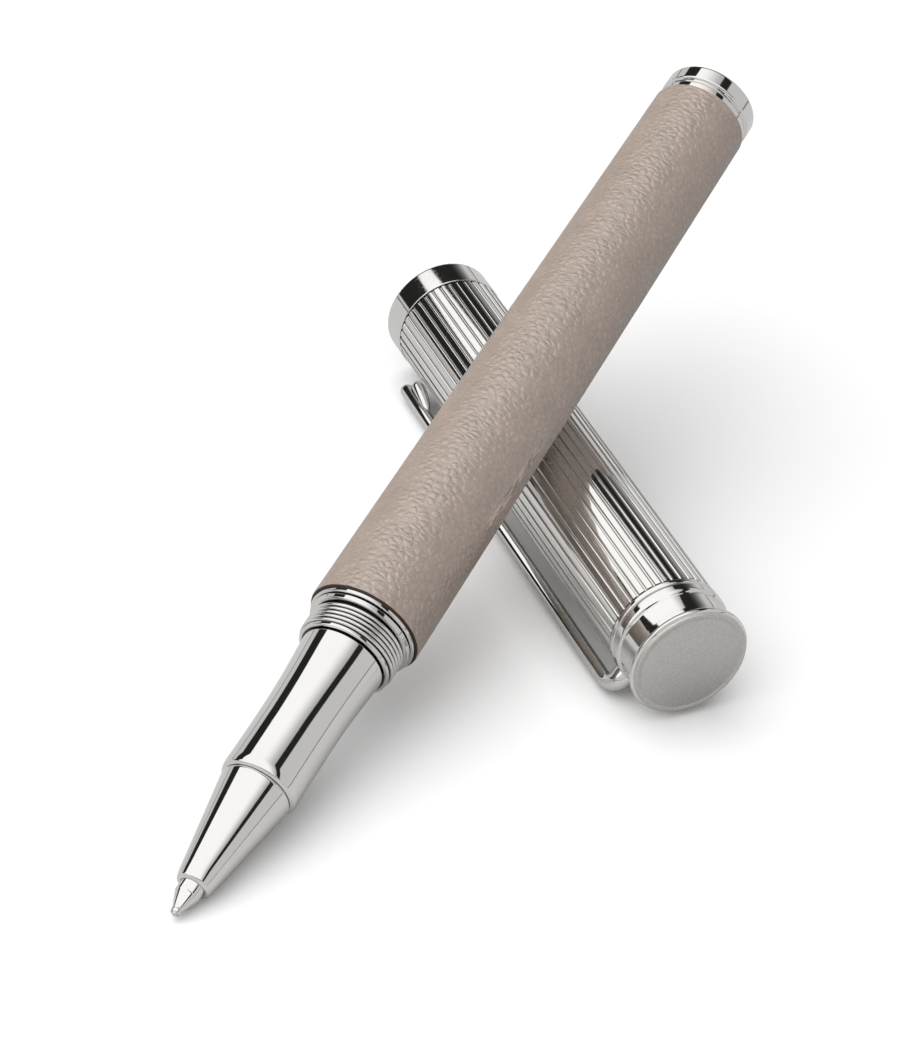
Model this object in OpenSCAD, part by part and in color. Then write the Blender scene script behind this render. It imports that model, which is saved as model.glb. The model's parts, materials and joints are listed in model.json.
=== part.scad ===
// Capped rollerball pen: the cap lies on its side on the table, and the open
// pen leans across it with its writing ball on the table.
// Millimetres, +Z up, origin under the middle of the whole layout.

/* [Pen] */
// Length of the open pen from writing ball to tail
pen_len = 117.8; // [117.6:0.1:118.6]
// Outside diameter of the leather at its front edge
leather_front_d = 12; // [11.6:0.1:12.4]
// Outside diameter of the leather at its tail edge
leather_tail_d = 10.7; // [10.6:0.05:11.2]
// Length of the leather sleeve
leather_len = 77.1; // [77:0.1:77.6]
// Diameter of the straight part of the grip
grip_d = 7.98; // [7.8:0.01:8.2]
// Diameter over the crests of the cap thread on the collar
collar_thread_d = 10.24; // [10.1:0.02:10.3]
// Diameter of the refill's metal tip where it leaves the nose
tip_d = 2.5; // [2.3:0.05:2.6]
// Diameter of the writing ball
ball_d = 0.7; // [0.5:0.1:0.8]

/* [Cap] */
// Length of the cap from mouth to crown face
cap_len = 63; // [62.5:0.1:65]
// Diameter over the lands of the fluted shell
shell_d = 12.1; // [12.1:0.05:12.4]
// Diameter of the crown disc
crown_d = 12.9; // [12.6:0.05:13.2]
// Number of flutes round the shell
flutes = 40; // [30:1:48]
// Depth of each flute
flute_depth = 0.13; // [0.08:0.01:0.16]
// Diameter of the clip bar
clip_bar_d = 1.5; // [1.3:0.05:1.6]
// Distance from the cap's axis to the middle of the clip bar
clip_bar_at = 8.15; // [8.05:0.05:8.4]

/* [Layout] */
// Angle that the pen leans up from the table
lean = 13.9; // [13.3:0.1:14.6]
// Heading of the pen from tip to tail, from +X towards +Y
heading = 39.2; // [35:0.1:45]
// Distance from the cap's mouth to the place where the pen crosses it
cross_from_mouth = 25.9; // [24:0.1:30]
// Free space between the leather and the flutes where they cross
rest_gap = 0.2; // [0.1:0.05:0.4]

/* [Hidden] */
$fn = 96;

// Colours
steel_c = [0.80, 0.79, 0.77];
satin_c = [0.62, 0.61, 0.60];
leather_c = [0.63, 0.56, 0.50];
brass_c = [0.75, 0.62, 0.35];
white_plastic_c = [0.90, 0.90, 0.88];
dark_plastic_c = [0.16, 0.16, 0.17];
ink_c = [0.10, 0.12, 0.30];

// Fits
press = 0.02;       // faces pressed together inside one assembly
thread_fit = 0.03;  // radial play in a screwed joint that turns
ball_fit = 0.015;   // radial play round the writing ball
seat = 0.05;        // axial play between parts that meet and turn

// Stations along the pen, measured from the front of the writing ball
tip_front_u = 0.22;
tip_stage_u = 2.6;
nose_mouth_u = 3.35;
nose_round_u = 4.2;
tip_shank_end_u = 9.4;
nose_base_u = 15.7;
lip_u = 16.1;
feed_end_u = 18;
nose_spigot_end_u = 21;
collar_front_u = 33.25;
collar_thread_u = 33.7;
collar_flange_u = 36.9;
leather_front_u = 37.55;
insert_end_u = 39.3;
collar_end_u = 46;
leather_end_u = leather_front_u + leather_len;
tail_cap_u = leather_end_u + 1.2;
refill_end_u = 110.3;
refill_plug_u = refill_end_u - 2.8;
tail_plug_u = refill_end_u + 1.4;

// Radii along the pen
grip_r = grip_d / 2;
lip_r = grip_r + 0.08;
nose_base_r = grip_r - 0.27;
nose_round_r = 1.9;
grip_bore_r = 3.3;
insert_thread_r = 3.4;
refill_r = 2.8;
refill_bore_r = 2.5;
feed_r = 1.9;
section_bore_r = refill_r + 0.1;
feed_bore_r = feed_r + 0.1;
leather_thickness = 0.8;
tube_bore_r = 4.3;
tail_cap_r = leather_tail_d / 2 - 0.11;
ball_r = ball_d / 2;

// Threads, drawn as rings at their pitch
cap_thread_pitch = 0.5;
cap_thread_turns = 6;
cap_thread_depth = 0.3;

// Stations along the cap, measured from its mouth
mouth_recess_w = 0.7;
band_end_w = 3.5;
thread_ring_end_w = 5;
inner_cap_end_w = 40.5;
shell_end_w = cap_len - 6.1;
clip_ring_end_w = shell_end_w + 2.3;
neck_end_w = clip_ring_end_w + 2;
medallion_w = cap_len - 0.3;
clip_root_w = shell_end_w + 1.05;
crown_plug_w = shell_end_w - 2.7;

// Radii of the cap
shell_r = shell_d / 2;
band_r = shell_r + 0.07;
cap_bore_r = 5.35;
liner_r = cap_bore_r - press;
neck_r = shell_r - 0.05;
clip_ring_r = shell_r + 0.1;
crown_r = crown_d / 2;
plug_spigot_r = 4.55;
crown_screw_r = 1.25;

// Layout
cap_axis_z = crown_r;
crossing_r = (leather_front_d + leather_tail_d) / 4;
skew = sqrt(pow(sin(lean), 2) + pow(cos(lean) * cos(heading), 2));
axis_rise = (crossing_r + shell_r + rest_gap) * skew / (cos(lean) * cos(heading));
cross_u = ball_r + (cap_axis_z + axis_rise - ball_r) / sin(lean);
along_x = cos(lean) * cos(heading);
along_y = cos(lean) * sin(heading);
tail_x = (pen_len - cross_u) * along_x + tail_cap_r * sqrt(1 - pow(along_x, 2));
tail_y = (pen_len - cross_u) * along_y + tail_cap_r * sqrt(1 - pow(along_y, 2));
cross_x = (cross_u * along_x - tail_x) / 2;
cross_y = (cross_u * along_y - tail_y) / 2;
clip_drop = asin((cap_axis_z - clip_bar_d / 2) / clip_bar_at);

// Places children, drawn up +Z from the writing ball, along the leaning pen
module on_pen() {
    tip = [cross_x - cross_u * along_x, cross_y - cross_u * along_y, ball_r - ball_r * sin(lean)];
    translate(tip)
        rotate([0, 90 - lean, heading])
            children();
}

// Places children, drawn up +Z from the mouth, along the lying cap
module on_cap() {
    translate([cross_x, cross_y + cross_from_mouth, cap_axis_z])
        rotate([90, 0, 0])
            children();
}

// Turns children so that +X points from the cap's axis to the clip bar
module towards_clip() {
    rotate([0, 0, 180 + clip_drop])
        children();
}

// Turned part from an outline of [radius, height] points
module turned(outline) {
    rotate_extrude()
        polygon(outline);
}

// Plain tube between two heights
module tube(outer, inner, from, to) {
    translate([0, 0, from])
        difference() {
            cylinder(r = outer, h = to - from);
            translate([0, 0, -1])
                cylinder(r = inner, h = to - from + 2);
        }
}

// Outline of a row of thread ridges: flat crests with a sloping groove between
function ridges(crest, root, from, pitch, turns) = [
    for (i = [0 : turns - 1])
        for (p = [[crest, 0], [crest, 0.3], [root, 0.6], [root, 0.75]])
            [p[0], from + (i + p[1]) * pitch]
];

// ---- Barrel ----

module leather_sleeve() {
    front_r = leather_front_d / 2;
    tail_r = leather_tail_d / 2;
    edge = 0.2;
    color(leather_c) on_pen()
        turned([
            [front_r - leather_thickness, leather_front_u],
            [front_r - edge, leather_front_u],
            [front_r, leather_front_u + edge],
            [tail_r, leather_end_u - edge],
            [tail_r - edge, leather_end_u],
            [tail_r - leather_thickness, leather_end_u]
        ]);
}

module barrel_tube() {
    front_r = leather_front_d / 2 - leather_thickness - press;
    tail_r = leather_tail_d / 2 - leather_thickness - press;
    color(brass_c) on_pen()
        turned([
            [tube_bore_r, leather_front_u],
            [front_r, leather_front_u],
            [tail_r, leather_end_u],
            [tube_bore_r, leather_end_u]
        ]);
}

module threaded_collar() {
    crest = collar_thread_d / 2;
    root = crest - cap_thread_depth;
    flange_r = leather_front_d / 2 - 0.25;
    front_r = crest - 0.17;
    thread_start = collar_thread_u + 0.1;
    outline = concat(
        [
            [insert_thread_r + thread_fit, collar_front_u],
            [front_r - 0.15, collar_front_u],
            [front_r, collar_front_u + 0.15],
            [front_r, collar_thread_u]
        ],
        ridges(crest, root, thread_start, cap_thread_pitch, cap_thread_turns),
        [
            [crest, collar_flange_u],
            [flange_r, collar_flange_u],
            [flange_r, leather_front_u],
            [tube_bore_r - press, leather_front_u],
            [tube_bore_r - press, collar_end_u],
            [insert_thread_r + thread_fit, collar_end_u]
        ]
    );
    color(steel_c) on_pen()
        turned(outline);
}

module tail_ring() {
    ring_r = leather_tail_d / 2 - 0.2;
    color(steel_c) on_pen()
        tube(ring_r, 2, leather_end_u, tail_cap_u - 0.1);
}

module tail_cap() {
    edge = 0.25;
    hole_depth = 1.2;
    color(steel_c) on_pen()
        turned([
            [crown_screw_r, tail_cap_u - 0.1],
            [tail_cap_r - 0.3, tail_cap_u - 0.1],
            [tail_cap_r, tail_cap_u],
            [tail_cap_r, pen_len - edge],
            [tail_cap_r - edge, pen_len],
            [0, pen_len],
            [0, tail_cap_u + hole_depth],
            [crown_screw_r, tail_cap_u + hole_depth]
        ]);
}

module tail_plug() {
    spring_pocket_r = 2.6;
    spring_pocket_depth = 1.6;
    plug_r = tube_bore_r - press;
    color(brass_c) on_pen()
        turned([
            [spring_pocket_r, tail_plug_u],
            [plug_r, tail_plug_u],
            [plug_r, leather_end_u],
            [crown_screw_r, leather_end_u],
            [crown_screw_r, tail_plug_u + spring_pocket_depth],
            [spring_pocket_r, tail_plug_u + spring_pocket_depth]
        ]);
}

module tail_screw() {
    color(brass_c) on_pen()
        translate([0, 0, tail_plug_u + 2])
            cylinder(r = crown_screw_r - press, h = tail_cap_u + 1.1 - tail_plug_u - 2);
}

module refill_spring() {
    wire_r = 0.2;
    coil_r = 2.2;
    coils = 5;
    from = refill_end_u + seat + wire_r;
    pitch = (tail_plug_u + 1.6 - press - wire_r - from) / (coils - 1);
    color(satin_c) on_pen()
        for (i = [0 : coils - 1])
            translate([0, 0, from + i * pitch])
                rotate_extrude()
                    translate([coil_r, 0])
                        circle(r = wire_r, $fn = 24);
}

// ---- Front section ----

module grip_section() {
    flare_start = 27.5;
    rear_r = grip_r + 0.52;
    color(steel_c) on_pen()
        turned([
            [grip_bore_r, lip_u - 0.2],
            [lip_r - 0.25, lip_u - 0.2],
            [lip_r, lip_u + 0.1],
            [lip_r, lip_u + 1],
            [grip_r, lip_u + 2],
            [grip_r, flare_start],
            [grip_r + 0.18, flare_start + 2.3],
            [grip_r + 0.42, collar_front_u - 1],
            [rear_r, collar_front_u - seat],
            [grip_bore_r, collar_front_u - seat]
        ]);
}

module nose_cone() {
    mouth_r = tip_d / 2 + 0.05;
    bore_step_u = 8;
    refill_stop_u = feed_end_u - seat;
    spigot_r = grip_bore_r - press;
    color(steel_c) on_pen()
        turned([
            [mouth_r, nose_mouth_u],
            [mouth_r + 0.15, nose_mouth_u],
            [nose_round_r - 0.12, nose_mouth_u + 0.35],
            [nose_round_r, nose_round_u],
            [nose_base_r, nose_base_u],
            [nose_base_r, lip_u - 0.25],
            [spigot_r, lip_u - 0.25],
            [spigot_r, nose_spigot_end_u],
            [section_bore_r, nose_spigot_end_u],
            [section_bore_r, refill_stop_u],
            [feed_bore_r, refill_stop_u],
            [feed_bore_r, bore_step_u],
            [mouth_r, bore_step_u]
        ]);
}

module section_insert() {
    groove_u = 38.1;
    groove_w = 0.4;
    groove_r = insert_thread_r - 0.3;
    color(brass_c) on_pen()
        turned([
            [section_bore_r, nose_spigot_end_u + seat],
            [grip_bore_r - press, nose_spigot_end_u + seat],
            [grip_bore_r - press, collar_front_u - seat],
            [insert_thread_r, collar_front_u - seat],
            [insert_thread_r, groove_u],
            [groove_r, groove_u],
            [groove_r, groove_u + groove_w],
            [insert_thread_r, groove_u + groove_w],
            [insert_thread_r, insert_end_u],
            [section_bore_r, insert_end_u]
        ]);
}

module section_o_ring() {
    cord_r = 0.14;
    color(dark_plastic_c) on_pen()
        translate([0, 0, 38.3])
            rotate_extrude()
                translate([insert_thread_r - 0.3 + cord_r, 0])
                    circle(r = cord_r, $fn = 24);
}

// ---- Refill ----

module refill_tip() {
    ink_way_r = 0.15;
    color(steel_c) on_pen()
        difference() {
            turned([
                [0, tip_front_u],
                [0.48, tip_front_u],
                [tip_d / 2, tip_stage_u],
                [tip_d / 2, tip_shank_end_u],
                [0, tip_shank_end_u]
            ]);
            translate([0, 0, ball_r])
                sphere(r = ball_r + ball_fit);
            translate([0, 0, ball_r])
                cylinder(r = ink_way_r, h = tip_shank_end_u);
        }
}

module refill_feed() {
    ink_way_r = 0.6;
    color(dark_plastic_c) on_pen()
        tube(feed_r, ink_way_r, tip_shank_end_u, feed_end_u);
}

module refill_tube() {
    color(white_plastic_c) on_pen()
        tube(refill_r, refill_bore_r, feed_end_u, refill_plug_u);
}

module ink_reservoir() {
    color(ink_c) on_pen()
        translate([0, 0, feed_end_u + press])
            cylinder(r = refill_bore_r - press, h = refill_plug_u - feed_end_u - 4);
}

module refill_end_plug() {
    color(dark_plastic_c) on_pen()
        turned([
            [0, refill_plug_u - 2],
            [refill_bore_r - press, refill_plug_u - 2],
            [refill_bore_r - press, refill_plug_u],
            [refill_r, refill_plug_u],
            [refill_r, refill_end_u - 0.3],
            [refill_r - 0.3, refill_end_u],
            [0, refill_end_u]
        ]);
}

module writing_ball() {
    color(satin_c) on_pen()
        translate([0, 0, ball_r])
            sphere(r = ball_r);
}

// ---- Cap ----

module mouth_band() {
    edge = 0.3;
    recess_r = leather_front_d / 2 - 0.2;
    color(steel_c) on_cap()
        turned([
            [recess_r, 0],
            [band_r - edge, 0],
            [band_r, edge],
            [band_r, band_end_w - 0.15],
            [band_r - 0.15, band_end_w],
            [cap_bore_r, band_end_w],
            [cap_bore_r, mouth_recess_w],
            [recess_r, mouth_recess_w]
        ]);
}

module cap_shell() {
    flute_r = 0.22;
    color(steel_c) on_cap()
        translate([0, 0, band_end_w])
            linear_extrude(shell_end_w - band_end_w)
                difference() {
                    circle(r = shell_r);
                    circle(r = cap_bore_r);
                    for (i = [0 : flutes - 1])
                        rotate(i * 360 / flutes)
                            translate([shell_r + flute_r - flute_depth, 0])
                                circle(r = flute_r, $fn = 24);
                }
}

module cap_thread_ring() {
    crest = collar_thread_d / 2 - cap_thread_depth + 0.05;
    root = collar_thread_d / 2 + 0.05;
    start = mouth_recess_w + 0.4;
    color(brass_c) on_cap()
        turned(concat(
            [[liner_r, thread_ring_end_w], [liner_r, mouth_recess_w], [root, mouth_recess_w]],
            ridges(crest, root, start, cap_thread_pitch, cap_thread_turns),
            [[crest, thread_ring_end_w - 0.5], [crest, thread_ring_end_w]]
        ));
}

module inner_cap() {
    wall = 0.26;
    color(dark_plastic_c) on_cap()
        turned([
            [liner_r - wall, thread_ring_end_w],
            [liner_r, thread_ring_end_w],
            [liner_r, inner_cap_end_w],
            [0, inner_cap_end_w],
            [0, inner_cap_end_w - 1],
            [liner_r - wall, inner_cap_end_w - 1]
        ]);
}

module clip_ring() {
    pocket_r = 0.75;
    bead = 0.15;
    groove_w = shell_end_w + 0.7;
    color(steel_c) on_cap()
        difference() {
            turned([
                [plug_spigot_r + press, shell_end_w],
                [clip_ring_r - bead, shell_end_w],
                [clip_ring_r, shell_end_w + bead],
                [clip_ring_r, groove_w - bead],
                [clip_ring_r - bead, groove_w],
                [clip_ring_r, groove_w + bead],
                [clip_ring_r, clip_ring_end_w - bead],
                [clip_ring_r - bead, clip_ring_end_w],
                [plug_spigot_r + press, clip_ring_end_w]
            ]);
            towards_clip()
                translate([plug_spigot_r, 0, clip_root_w])
                    rotate([0, 90, 0])
                        cylinder(r = pocket_r, h = 3);
        }
}

module crown_neck() {
    hollow = 0.15;
    color(steel_c) on_cap()
        turned([
            [plug_spigot_r + press, clip_ring_end_w],
            [neck_r, clip_ring_end_w],
            [neck_r - hollow, clip_ring_end_w + 0.6],
            [neck_r - hollow, neck_end_w - 0.6],
            [neck_r, neck_end_w],
            [plug_spigot_r + press, neck_end_w]
        ]);
}

module crown_disc() {
    bevel = 0.3;
    color(steel_c) on_cap()
        turned([
            [crown_screw_r, neck_end_w],
            [crown_r - bevel, neck_end_w],
            [crown_r, neck_end_w + bevel],
            [crown_r, medallion_w - 0.1],
            [crown_r - 0.25, medallion_w],
            [0, medallion_w],
            [0, medallion_w - 0.6],
            [crown_screw_r, medallion_w - 0.6]
        ]);
}

module crown_medallion() {
    bevel = 0.1;
    face_r = crown_r - 0.28;
    color(satin_c) on_cap()
        turned([
            [0, medallion_w],
            [face_r, medallion_w],
            [face_r, cap_len - bevel],
            [face_r - bevel, cap_len],
            [0, cap_len]
        ]);
}

module crown_plug() {
    bore_r = crown_screw_r + 0.05;
    color(brass_c) on_cap()
        turned([
            [bore_r, crown_plug_w],
            [cap_bore_r - press, crown_plug_w],
            [cap_bore_r - press, shell_end_w],
            [plug_spigot_r, shell_end_w],
            [plug_spigot_r, neck_end_w],
            [bore_r, neck_end_w]
        ]);
}

module crown_screw() {
    head_r = 2.3;
    head_h = 1.6;
    slot_w = 0.5;
    slot_depth = 0.6;
    head_w = crown_plug_w - 0.8 - head_h;
    color(satin_c) on_cap()
        difference() {
            union() {
                translate([0, 0, head_w])
                    cylinder(r = head_r, h = head_h);
                translate([0, 0, head_w + head_h])
                    cylinder(r = crown_screw_r - press, h = medallion_w - 0.7 - head_w - head_h);
            }
            translate([-head_r, -slot_w / 2, head_w - slot_depth])
                cube([2 * head_r, slot_w, 2 * slot_depth]);
        }
}

module crown_washer() {
    color(satin_c) on_cap()
        tube(2.6, crown_screw_r + 0.15, crown_plug_w - 0.8, crown_plug_w);
}

module clip() {
    bar_r = clip_bar_d / 2;
    bend_r = 1.5;
    pin_r = 0.65;
    shoulder_from = clip_ring_r + 0.18;
    free_end_w = 5.1;
    bend_w = clip_root_w - bend_r;
    foot_r = 0.62;
    foot_w = 7.6;
    foot_at = shell_r + foot_r + 0.12;
    color(steel_c) on_cap() towards_clip()
        union() {
            translate([plug_spigot_r + 0.4, 0, clip_root_w])
                rotate([0, 90, 0])
                    cylinder(r = pin_r, h = 2);
            translate([shoulder_from, 0, clip_root_w])
                rotate([0, 90, 0])
                    cylinder(r = bar_r, h = clip_bar_at - bend_r - shoulder_from);
            translate([clip_bar_at - bend_r, 0, bend_w])
                rotate([90, 0, 0])
                    rotate_extrude(angle = 90)
                        translate([bend_r, 0])
                            circle(r = bar_r);
            translate([clip_bar_at, 0, free_end_w + bar_r])
                cylinder(r = bar_r, h = bend_w - free_end_w - bar_r);
            translate([clip_bar_at, 0, free_end_w + bar_r])
                sphere(r = bar_r);
            translate([foot_at, 0, foot_w])
                sphere(r = foot_r);
            translate([foot_at, 0, foot_w])
                rotate([0, 6, 0])
                    cylinder(r1 = foot_r, r2 = 0.3, h = 3.6);
            translate([foot_at, 0, foot_w])
                rotate([0, 90, 0])
                    cylinder(r = foot_r, h = clip_bar_at - foot_at);
        }
}

leather_sleeve();
barrel_tube();
threaded_collar();
tail_ring();
tail_cap();
tail_plug();
tail_screw();
refill_spring();
grip_section();
nose_cone();
section_insert();
section_o_ring();
refill_tip();
refill_feed();
refill_tube();
ink_reservoir();
refill_end_plug();
writing_ball();
mouth_band();
cap_shell();
cap_thread_ring();
inner_cap();
clip_ring();
crown_neck();
crown_disc();
crown_medallion();
crown_plug();
crown_screw();
crown_washer();
clip();
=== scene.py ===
"""Rollerball pen: polished steel grip and fluted cap, leather-wrapped barrel."""
import json
import math

import bpy
from mathutils import Matrix, Vector


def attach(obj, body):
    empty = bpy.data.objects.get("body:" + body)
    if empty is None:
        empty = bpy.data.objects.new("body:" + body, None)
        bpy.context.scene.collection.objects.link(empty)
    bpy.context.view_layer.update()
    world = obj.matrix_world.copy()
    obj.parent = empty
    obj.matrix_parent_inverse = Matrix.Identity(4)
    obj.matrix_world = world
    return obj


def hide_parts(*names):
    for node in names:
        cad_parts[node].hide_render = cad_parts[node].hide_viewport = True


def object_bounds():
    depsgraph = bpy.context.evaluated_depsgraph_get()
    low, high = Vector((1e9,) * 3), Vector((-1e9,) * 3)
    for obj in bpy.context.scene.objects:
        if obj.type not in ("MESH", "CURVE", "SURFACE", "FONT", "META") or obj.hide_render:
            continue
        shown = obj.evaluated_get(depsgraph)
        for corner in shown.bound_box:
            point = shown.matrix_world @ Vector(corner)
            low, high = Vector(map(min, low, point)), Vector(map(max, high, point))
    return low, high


bl_info = {
    "name": "Rollerball pen",
    "version": (1, 0, 0),
    "blender": (4, 5, 0),
    "location": "View3D > Sidebar > Pen",
    "description": "Builds a leather-wrapped rollerball pen and its fluted cap",
    "category": "Object",
}

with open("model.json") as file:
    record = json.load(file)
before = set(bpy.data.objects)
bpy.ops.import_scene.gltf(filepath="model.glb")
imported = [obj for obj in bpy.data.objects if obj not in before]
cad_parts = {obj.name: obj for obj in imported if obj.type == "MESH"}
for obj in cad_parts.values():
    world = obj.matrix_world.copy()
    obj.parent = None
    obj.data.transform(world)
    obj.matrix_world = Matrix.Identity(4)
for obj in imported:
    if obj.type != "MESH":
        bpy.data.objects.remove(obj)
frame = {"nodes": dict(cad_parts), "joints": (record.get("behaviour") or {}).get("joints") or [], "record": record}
CAD_LOW, CAD_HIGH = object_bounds()
MM = 0.001
MERGE = 0.0005 * MM  # vertices closer than this are one
PEN_LENGTH = 117.8 * MM
CAP_LENGTH = 63 * MM

MOUNTS = {mount["name"]: mount for mount in frame["record"]["mounts"]}
JOINTS = {joint["name"]: joint for joint in frame["joints"]}


# ---- Axes of the pen and of the cap ----

def along_axis(origin, axis):
    """Matrix that stands a piece drawn up +Z on an axis that starts at origin."""
    turn = Vector(axis).normalized().to_track_quat("Z", "Y").to_matrix().to_4x4()
    return Matrix.Translation(origin) @ turn


def pen_place():
    """Pen axis: starts at the front of the writing ball and runs to the tail."""
    tail = Vector(MOUNTS["tail_face"]["pos_m"])
    axis = Vector(MOUNTS["tail_face"]["axis"]).normalized()
    return along_axis(tail - PEN_LENGTH * axis, axis)


def cap_place():
    """Cap axis: starts at the mouth, runs to the crown, +X towards the clip."""
    crown = Vector(MOUNTS["crown_face"]["pos_m"])
    axis = Vector(MOUNTS["crown_face"]["axis"]).normalized()
    mouth = crown - CAP_LENGTH * axis
    hinge = Vector(JOINTS["clip_spring"]["pos_m"]) - mouth
    sideways = (hinge - hinge.dot(axis) * axis).normalized()
    across = axis.cross(sideways)
    turn = Matrix((sideways, across, axis)).transposed().to_4x4()
    return Matrix.Translation(mouth) @ turn


PEN = pen_place()
CAP = cap_place()


# ---- Settings ----

def length_prop(name, description, default):
    return bpy.props.FloatProperty(
        name=name, description=description, default=default, unit="LENGTH", precision=5
    )


def colour_prop(name, description, default):
    return bpy.props.FloatVectorProperty(
        name=name, description=description, default=default, subtype="COLOR", min=0, max=1
    )


class PenSizes(bpy.types.PropertyGroup):
    """Sizes of the details that are finer than the frame."""

    leather_grain: length_prop("Leather grain", "Width of one leather pebble", 0.8 * MM)
    leather_relief: length_prop("Leather relief", "Height of the leather pebbles", 0.085 * MM)
    thread_pitch: length_prop("Thread pitch", "Pitch of the cap thread", 0.5 * MM)
    thread_crest: length_prop("Thread crest", "Radius of the collar thread", 5.12 * MM)
    flute_depth: length_prop("Flute depth", "Depth of the grooves along the cap", 0.13 * MM)
    flutes: bpy.props.IntProperty(
        name="Flutes", description="Grooves round the cap", default=40, min=12, max=60
    )
    clip_bar: length_prop("Clip bar", "Diameter of the clip bar", 1.5 * MM)
    spring_coils: bpy.props.IntProperty(
        name="Spring coils", description="Turns of the refill spring", default=5, min=3, max=8
    )


class PenColours(bpy.types.PropertyGroup):
    """Colours of the finishes."""

    steel: colour_prop("Polished steel", "Mirror-polished plated steel", (0.80, 0.785, 0.765))
    satin: colour_prop("Blasted steel", "Matt face of the crown", (0.60, 0.58, 0.56))
    leather: colour_prop("Leather", "Face of the pebbles", (0.32, 0.232, 0.175))
    # Painted shade: the creases are coloured darker than the pebble faces.
    crease_shade: colour_prop("Leather creases", "Bottom of the creases", (0.255, 0.18, 0.135))
    # Painted shade: the ring at the leather's front edge is near black, for the shade of the groove there.
    leather_edge: colour_prop("Leather edge", "Cut and burnished edge", (0.022, 0.009, 0.006))
    brass: colour_prop("Brass", "Inner tube and thread inserts", (0.72, 0.52, 0.24))
    dark_plastic: colour_prop("Dark plastic", "Cap liner and feed", (0.035, 0.035, 0.037))
    white_plastic: colour_prop("Refill plastic", "Refill tube", (0.78, 0.78, 0.76))
    ink: colour_prop("Ink", "Ink store", (0.02, 0.03, 0.16))


class PenStudio(bpy.types.PropertyGroup):
    """Studio light."""

    panel: bpy.props.FloatProperty(
        name="Overhead panel", description="Brightness of the soft overhead panel", default=2.2
    )
    walls: bpy.props.FloatProperty(
        name="Walls", description="Brightness of the pale walls", default=0.62
    )
    floor: bpy.props.FloatProperty(
        name="Floor", description="How pale the floor is", default=0.97, min=0, max=1
    )


# ---- Mesh helpers ----

def deselect():
    if bpy.context.object and bpy.context.object.mode != "OBJECT":
        bpy.ops.object.mode_set(mode="OBJECT")
    bpy.ops.object.select_all(action="DESELECT")


def tidy_mesh():
    """Merges doubles and turns faces outwards, from edit mode, and leaves edit mode."""
    bpy.ops.mesh.select_all(action="SELECT")
    bpy.ops.mesh.remove_doubles(threshold=MERGE)
    bpy.ops.mesh.normals_make_consistent(inside=False)
    bpy.ops.object.mode_set(mode="OBJECT")


def rounded(outline):
    """Outline of (radius, height) points in mm; a third number rounds that corner.

    Points held close beside a rounded corner keep the shading of the long faces flat.
    """
    arc_steps, hold = 7, 0.05
    points = [Vector(p[:2]) for p in outline]
    result = []
    for i, corner in enumerate(points):
        cut = outline[i][2] if len(outline[i]) > 2 else 0
        if not cut:
            result.append(corner)
            continue
        to_last = points[i - 1] - corner
        to_next = points[(i + 1) % len(points)] - corner
        before, after = to_last.normalized(), to_next.normalized()
        if to_last.length > cut + 3 * hold:
            result.append(corner + before * (cut + hold))
        for k in range(arc_steps + 1):
            t = k / arc_steps
            result.append(corner + (before * (1 - t) ** 2 + after * t ** 2) * cut)
        if to_next.length > cut + 3 * hold:
            result.append(corner + after * (cut + hold))
    return result


def draw_outline(name, points):
    """Closed outline of (radius, height) points in mm, extruded from one vertex."""
    deselect()
    bpy.ops.mesh.primitive_plane_add(size=MM, location=(0, 0, 0))
    piece = bpy.context.object
    piece.name = name
    bpy.ops.object.mode_set(mode="EDIT")
    bpy.ops.mesh.select_mode(type="VERT")
    bpy.ops.mesh.select_all(action="SELECT")
    bpy.ops.mesh.merge(type="CENTER")
    route = [Vector((p[0], 0, p[1])) * MM for p in points]
    bpy.ops.transform.translate(value=route[0])
    for here, there in zip(route, route[1:] + route[:1]):
        bpy.ops.mesh.extrude_vertices_move(TRANSFORM_OT_translate={"value": there - here})
    bpy.ops.mesh.select_all(action="SELECT")
    bpy.ops.mesh.remove_doubles(threshold=MERGE)
    return piece


def spun(name, outline, steps=180):
    """Turned piece from an outline, drawn up +Z."""
    piece = draw_outline(name, rounded(outline))
    bpy.ops.mesh.select_all(action="SELECT")
    bpy.ops.mesh.spin(steps=steps, angle=2 * math.pi, center=(0, 0, 0), axis=(0, 0, 1))
    tidy_mesh()
    return piece


def pick(*pieces):
    """Selects the pieces, with the first as the active one."""
    deselect()
    for piece in pieces:
        piece.select_set(True)
    bpy.context.view_layer.objects.active = pieces[0]


def clear_selection(kind):
    """Leaves the active mesh with nothing selected, ready to pick its VERT or EDGE parts."""
    bpy.ops.object.mode_set(mode="EDIT")
    bpy.ops.mesh.select_mode(type=kind)
    bpy.ops.mesh.select_all(action="DESELECT")
    bpy.ops.object.mode_set(mode="OBJECT")


def apply_modifier(piece, kind, **settings):
    pick(piece)
    bpy.ops.object.modifier_add(type=kind)
    modifier = piece.modifiers[-1]
    for key, value in settings.items():
        setattr(modifier, key, value)
    bpy.ops.object.modifier_apply(modifier=modifier.name)


def helix(name, section, pitch, turns, steps=96):
    """Section, as (radius, height) points in mm, swept up a helix, with closed ends."""
    piece = draw_outline(name, section)
    bpy.ops.object.mode_set(mode="OBJECT")
    apply_modifier(
        piece, "SCREW", axis="Z", angle=2 * math.pi, screw_offset=pitch,
        iterations=turns, steps=steps, render_steps=steps, use_merge_vertices=False,
    )
    bpy.ops.object.mode_set(mode="EDIT")
    bpy.ops.mesh.select_all(action="SELECT")
    bpy.ops.mesh.remove_doubles(threshold=MERGE)
    bpy.ops.mesh.select_all(action="DESELECT")
    bpy.ops.mesh.select_non_manifold()
    bpy.ops.mesh.fill_holes(sides=0)
    tidy_mesh()
    return piece


def join(piece, other):
    pick(piece, other)
    bpy.ops.object.join()
    return piece


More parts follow.
